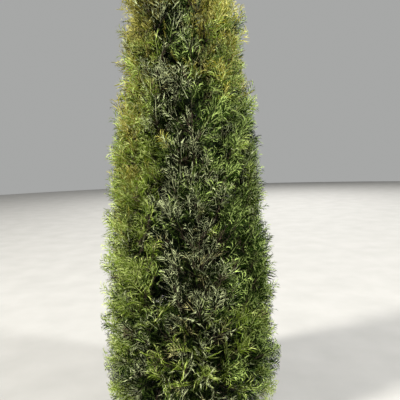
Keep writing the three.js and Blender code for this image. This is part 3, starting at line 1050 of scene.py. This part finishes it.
def mood_of(own_twigs, first):
    """A mood for each fan on some twigs: its plume's, shifted by its twig's."""
    mood = chance(STREAM["mood"], np.array([first + twig.own for twig in own_twigs]))
    numbers = np.array([first - TWIG_MOODS_BELOW + twig.n for twig in own_twigs])
    shift = TWIG_MOOD * (chance(STREAM["mood"], numbers) - 0.5)
    return np.repeat(mood + shift, [len(twig.fan_n) for twig in own_twigs])


# Places from side to side are shares of the crown's radius, with the left below 0, and heights are in
# metres. A border is given as heights and its places there, and the moods make it wander. Of a pair
# of shares, the first is of the fans away from a tint's own side, and the second of those well in it.
OTHER_MOOD = 7.3
OTHER_LUCK = 0.3
FAN_MOOD = 0.35
BORDER_WANDER = 0.35
LEFT_BORDER = ((0.6, 1.0, 1.45, 2.05, 3.0), (0.55, 0.3, 0.2, 0.16, -0.35))
LEFT_BLEND = 0.3
RIGHT_FROM = 0.2
RIGHT_BLEND = 0.35
TAN_FROM = 0.88
TAN_WITHIN = 0.45
FRESH_SHARES = (0.22, 0.9)
LEMON_SHARES = (0.05, 0.92)
LEMON_AT_FOOT = 0.1
LEMON_FROM = 0.4
LEMON_FULLY = 0.95
GOLD_FROM = 1.25
GOLD_FULLY = 2.25
GOLD_UNEVEN = 0.8
FOOT_LEMON = ((0.25, 0.45, 0.6, 0.72), (0.3, 0.42, 0.42, 0))
FOOT_LIT = 0.45
RIGHT_GOLD_FROM = 1.66
RIGHT_GOLD_FULLY = 2.8
RIGHT_GOLD_UNEVEN = 0.5
RIGHT_GOLD_BORDER = ((2.05, 3.0), (0.3, -0.35))
RIGHT_GOLD = 0.97
GOLD_LIT = 0.9
STRAW_FROM = 0.35
STRAW_MOOD = 0.45
LEMON_BAND = 0.16
DRY_SHARE = 0.015
DRY_DRAW = 97


def tints_by_place(tip, mood, second_mood, luck):
    """A tint for each fan by its side of the tree, its height and its moods, as it is where it is
    young and near the outline, and how much it counts as sunlit and as on the right."""
    z = tip[:, 2]
    side = tip[:, 0] / crown_radius(z)
    other_mood = (OTHER_MOOD * mood + OTHER_LUCK * luck) % 1
    wander = BORDER_WANDER * (other_mood - 0.5)
    left = np.clip((wander - side - np.interp(z, *LEFT_BORDER)) / LEFT_BLEND, 0, 1)
    right = np.clip((side + wander - RIGHT_FROM) / RIGHT_BLEND, 0, 1)
    # The sunny left counts as lit, and more so higher up. Its lemon and gold are that side's own colour,
    # and being lit spares its fans painted shade, which is painted light.
    lit = left * np.clip((z - LEMON_FROM) / (LEMON_FULLY - LEMON_FROM), LEMON_AT_FOOT, 1)
    draw = (mood + FAN_MOOD * (luck - 0.5)) % 1

    tint = np.full(len(tip), tint_number["olive"])
    lemon_share = between(*LEMON_SHARES, lit)
    fresh_share = between(*FRESH_SHARES, right)
    tint[(draw > TAN_FROM) & (abs(side) < TAN_WITHIN)] = tint_number["tan"]
    tint[draw < lemon_share + (1 - lemon_share) * fresh_share] = tint_number["fresh"]
    tint[draw < lemon_share] = tint_number["lemon"]
    golden = z + GOLD_UNEVEN * (luck - 0.5) > between(GOLD_FROM, GOLD_FULLY, mood)
    tint[(draw < lemon_share) & golden] = tint_number["gold"]
    at_foot = other_mood < np.interp(z, *FOOT_LEMON)
    tint[at_foot] = tint_number["lemon"]

    turns_at = between(RIGHT_GOLD_FROM, RIGHT_GOLD_FULLY, abs(second_mood))
    above = z + RIGHT_GOLD_UNEVEN * (luck - 0.5) - turns_at
    turned = (above > 0) & (draw < RIGHT_GOLD)
    turned &= side + wander > np.interp(z, *RIGHT_GOLD_BORDER)
    outer = turned & (side + wander > STRAW_FROM)
    tint[turned] = tint_number["gold"]
    # Straw, a paler gold, is in part painted sunlight on the right's top, where the lamps light the gold
    # less.
    tint[outer & (abs(second_mood) < STRAW_MOOD)] = tint_number["straw"]
    tint[outer & (above < LEMON_BAND)] = tint_number["lemon"]

    # The turned gold on the right and the lemon at the foot also count as lit. This is painted light,
    # which spares them painted shade.
    lit = np.maximum(lit, np.maximum(GOLD_LIT * turned, FOOT_LIT * at_foot))
    tint[(luck * DRY_DRAW) % 1 < DRY_SHARE] = tint_number["dry"]
    return tint, lit, right


# Painted shade: fans that are where two plumes meet, deep in the crown, low on the tree, on inner shoots,
# or old take the dark tints, because the crown's gaps, inside and foot lie in shade.
CREASE = 0.05
CREASE_STRETCH = (1, 1, 2)
CREASE_LIT = 0.6
CREASE_RIGHT = 0.5
CREASE_SHADE = 0.45
CREASE_DEPTH = 0.05
DARKENING_LUCK = 0.4
# Painted light: lit fans, and fans on the right where more light falls, take less painted shade.
LIT_LESS_SHADE = 0.25
RIGHT_LESS_SHADE = 0.08
FOOT_SHADES = (0.6, 1)
FOOT_SHADE = 0.46
OLD_OR_SHADED = 0.64
OLDEST_OR_SHADED = 0.88
DEPTH_LUCK = 0.08
LIT_DEPTH = 0.06
DEEP_IN = 0.115
DEEPEST_IN = 0.165


def crease_at(points):
    """1 where two plumes meet, and 0 from CREASE inside either of them, less far one above the other."""
    nearest = np.partition(distance_to_stems(points, CREASE_STRETCH), 1, axis=1)
    return np.clip(1 - (nearest[:, 1] - nearest[:, 0]) / CREASE, 0, 1)


def paint_shade(tint, tip, young_or_lit, luck, lit, right):
    """Paints shade, with some real age: dark tints for fans that are old, deep in the crown, or between
    two plumes.
    """
    z = tip[:, 2]
    crease = crease_at(tip) * (1 - CREASE_LIT * lit - CREASE_RIGHT * right)
    old_or_shaded = 1 - young_or_lit + DARKENING_LUCK * (luck - 0.5) - LIT_LESS_SHADE * lit + CREASE_SHADE * crease
    old_or_shaded -= RIGHT_LESS_SHADE * right
    old_or_shaded += FOOT_SHADE * between(*FOOT_SHADES, right) * np.clip(1 - z / LEMON_FULLY, 0, 1)
    deep_in = depth_of(tip) * crown_radius(z) + DEPTH_LUCK * (luck - 0.5) - LIT_DEPTH * lit
    deep_in += CREASE_DEPTH * crease
    tint[(old_or_shaded > OLD_OR_SHADED) | (deep_in > DEEP_IN)] = tint_number["deep"]
    tint[(old_or_shaded > OLDEST_OR_SHADED) | (deep_in > DEEPEST_IN)] = tint_number["shade"]


EDGE_ALLOWANCE = 0.008
EDGE_SHARE = 0.98
SPRAY_BEYOND = 0.035
BEYOND_FROM = 0.35
BEYOND_RISE = 0.4
BEYOND_FULLY = 0.36
TOP_POINT = 0.012
TOP_SLOPE = 0.42
LOWEST_LEAF = 0.015


def kept_inside(corners):
    """Lets sprays stand a little out of the crown's outline, less at its foot and near its top, draws
    what reaches further back to there, points the top, and keeps all off the ground."""
    kept = corners.copy()
    top = cad_box[1][2] + EDGE_ALLOWANCE
    kept[:, 2] = np.clip(kept[:, 2], LOWEST_LEAF, top)
    out = np.hypot(kept[:, 0], kept[:, 1])
    limit = TOP_POINT + TOP_SLOPE * (top - kept[:, 2])
    beyond = SPRAY_BEYOND * np.clip((kept[:, 2] - BEYOND_FROM) / BEYOND_RISE, 0, 1)
    beyond *= np.minimum(1, crown_radius(kept[:, 2]) / BEYOND_FULLY)
    limit = np.minimum(EDGE_SHARE * crown_radius(kept[:, 2]) + beyond, limit)
    kept[:, :2] *= np.minimum(1, limit / np.maximum(out, 1e-9))[:, None]
    return kept


# Fans on shoots inside the crown count as older, so more of them take the painted shade.
INNER_SHADE = 0.16


def fans_on(own_twigs, inner):
    """The fans on those twigs that are inside the crown, or on the others: their corners, their
    triangles, and the finish of each triangle."""
    own_twigs = [twig for twig in own_twigs if twig.inner == inner]
    kinds = inner_kinds if inner else outer_kinds
    root = gathered(own_twigs, "fan_root")
    heading = gathered(own_twigs, "fan_heading")
    length = gathered(own_twigs, "fan_length")
    n = gathered(own_twigs, "fan_n")
    kind = (len(kinds) * chance(STREAM["kind"], n)).astype(int)
    facing = FULL_SPREAD * chance(STREAM["facing"], n + SECOND_DRAW)
    first, second = around(heading, UP)
    out = first * np.cos(facing)[:, None] + second * np.sin(facing)[:, None]
    across = np.cross(heading, out)
    shape = np.array([made.corners for made in kinds])[kind] * length[:, None, None]
    corners = root[:, None] + shape[..., 0:1] * across[:, None] + shape[..., 1:2] * heading[:, None]
    corners = kept_inside((corners + shape[..., 2:3] * out[:, None]).reshape(-1, 3))
    starts = np.arange(len(root)) * len(kinds[0].corners)
    faces = kinds[0].faces[None] + starts[:, None, None]

    tip = root + heading * length[:, None]
    luck = chance(STREAM["tint"], n)
    moods = mood_of(own_twigs, FIRST_MOOD), mood_of(own_twigs, SECOND_MOOD)
    tint, lit, right = tints_by_place(tip, *moods, luck)
    paint_shade(tint, tip, gathered(own_twigs, "fan_share") - INNER_SHADE * inner, luck, lit, right)
    # Pale tips take the tip colour, which is painted highlight, and the rest take the darker inner
    # colour, which is painted shade.
    finish = 2 * tint[:, None] + np.array([made.young_or_lit for made in kinds])[kind]
    return corners, faces.reshape(-1, 3), finish.ravel()


PIECE_TRIANGLES = 190000
PIECE_LETTERS = "abc"
for tier in range(TIER_COUNT):
    own_twigs = [twig for twig in twigs if plumes[twig.own].tier == tier]
    triangles = sum(
        len(twig.fan_n) * len((inner_kinds if twig.inner else outer_kinds)[0].faces)
        for twig in own_twigs
    )
    own_plumes = sorted({twig.own for twig in own_twigs})
    groups = np.array_split(own_plumes, int(np.ceil(triangles / PIECE_TRIANGLES)))
    for part, group in enumerate(groups):
        group_twigs = [twig for twig in own_twigs if twig.own in group]
        outer, inner = fans_on(group_twigs, False), fans_on(group_twigs, True)
        corners, faces = piled([outer[:2], inner[:2]])
        finish = np.concatenate([outer[2], inner[2]])
        name = f"foliage_tier_{tier + 1}{PIECE_LETTERS[part]}"
        piece = joined_mesh(name, corners, faces, foliage_finishes, finish)
        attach(piece, "root")
        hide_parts(*(f"foliage_{plumes[own].name}" for own in group))

# The stand is a plain round pale floor under a pale even sky, with a broad soft lamp high on the left,
# weaker ones on the right, in front and behind, and a camera at breast height that looks a little down
# on the lower half of the tree. The camera is rolled a little, as if it were held by hand.
FLOOR_RADIUS = 18
FLOOR_SIDES = 96
FLOOR_DARK = (0.2, 0.198, 0.193, 1)
FLOOR_PALE = (0.225, 0.222, 0.217, 1)
bpy.ops.object.select_all(action="DESELECT")
bpy.ops.mesh.primitive_circle_add(vertices=FLOOR_SIDES, radius=FLOOR_RADIUS, fill_type="NGON")
floor = bpy.context.object
floor.name = "floor"
floor_finish, place = new_finish("pale_floor")
mottle = place.node("ShaderNodeTexNoise", sockets={"Vector": place, "Scale": 3, "Detail": 4})
floor_color = place.node(
    "ShaderNodeValToRGB", {"stops": [(0.3, FLOOR_DARK), (0.7, FLOOR_PALE)]}, {"Fac": mottle}
)
lay_on(place, {"Base Color": floor_color, "Roughness": 0.9})
floor.data.materials.append(floor_finish)

SKY_COLOR = (0.77, 0.78, 0.77, 1)
SKY_STRENGTH = 0.5
sky = bpy.data.worlds.new("pale_sky")
sky.use_nodes = True
sky.node_tree.nodes["Background"].inputs["Color"].default_value = SKY_COLOR
sky.node_tree.nodes["Background"].inputs["Strength"].default_value = SKY_STRENGTH
bpy.context.scene.world = sky
bpy.context.scene.view_settings.view_transform = "Standard"


def point_at(thing, place, aim):
    thing.location = place
    toward = Vector(aim) - thing.location
    thing.rotation_euler = toward.to_track_quat("-Z", "Y").to_euler()


def soft_lamp(name, place, aim_height, width, power, color):
    light = bpy.data.lights.new(name, "AREA")
    light.shape = "DISK"
    light.size = width
    light.energy = power
    light.color = color
    lamp = bpy.data.objects.new(name, light)
    bpy.context.collection.objects.link(lamp)
    point_at(lamp, place, (0, 0, aim_height))


soft_lamp(
    "key", place=(-8.5, -4.0, 9.5), aim_height=1.5, width=1.9, power=4500, color=(1, 0.97, 0.88)
)
soft_lamp(
    "second", place=(10.0, -4.0, 7.0), aim_height=1.4, width=2.0, power=3000, color=(1, 0.99, 0.94)
)
soft_lamp(
    "front", place=(1.5, -12.5, 6.8), aim_height=1.3, width=2.0, power=1500, color=(0.98, 0.99, 1)
)
soft_lamp(
    "back", place=(3.0, 13.0, 8.5), aim_height=1.5, width=2.5, power=2700, color=(1, 0.99, 0.95)
)

CAMERA_PLACE = (0.072, -2.6, 1.4)
CAMERA_DOWN = 5.7
CAMERA_VIEW = 45.6
CAMERA_ROLL = 2
CAMERA_SENSOR = 36
view = bpy.data.cameras.new("camera")
view.sensor_width = CAMERA_SENSOR
view.lens = view.sensor_width / 2 / np.tan(np.radians(CAMERA_VIEW / 2))
camera = bpy.data.objects.new("camera", view)
bpy.context.collection.objects.link(camera)
x, y, z = CAMERA_PLACE
point_at(camera, CAMERA_PLACE, (x, y + 1, z - np.tan(np.radians(CAMERA_DOWN))))
camera.rotation_euler.rotate_axis("Z", -np.radians(CAMERA_ROLL))
bpy.context.scene.camera = camera
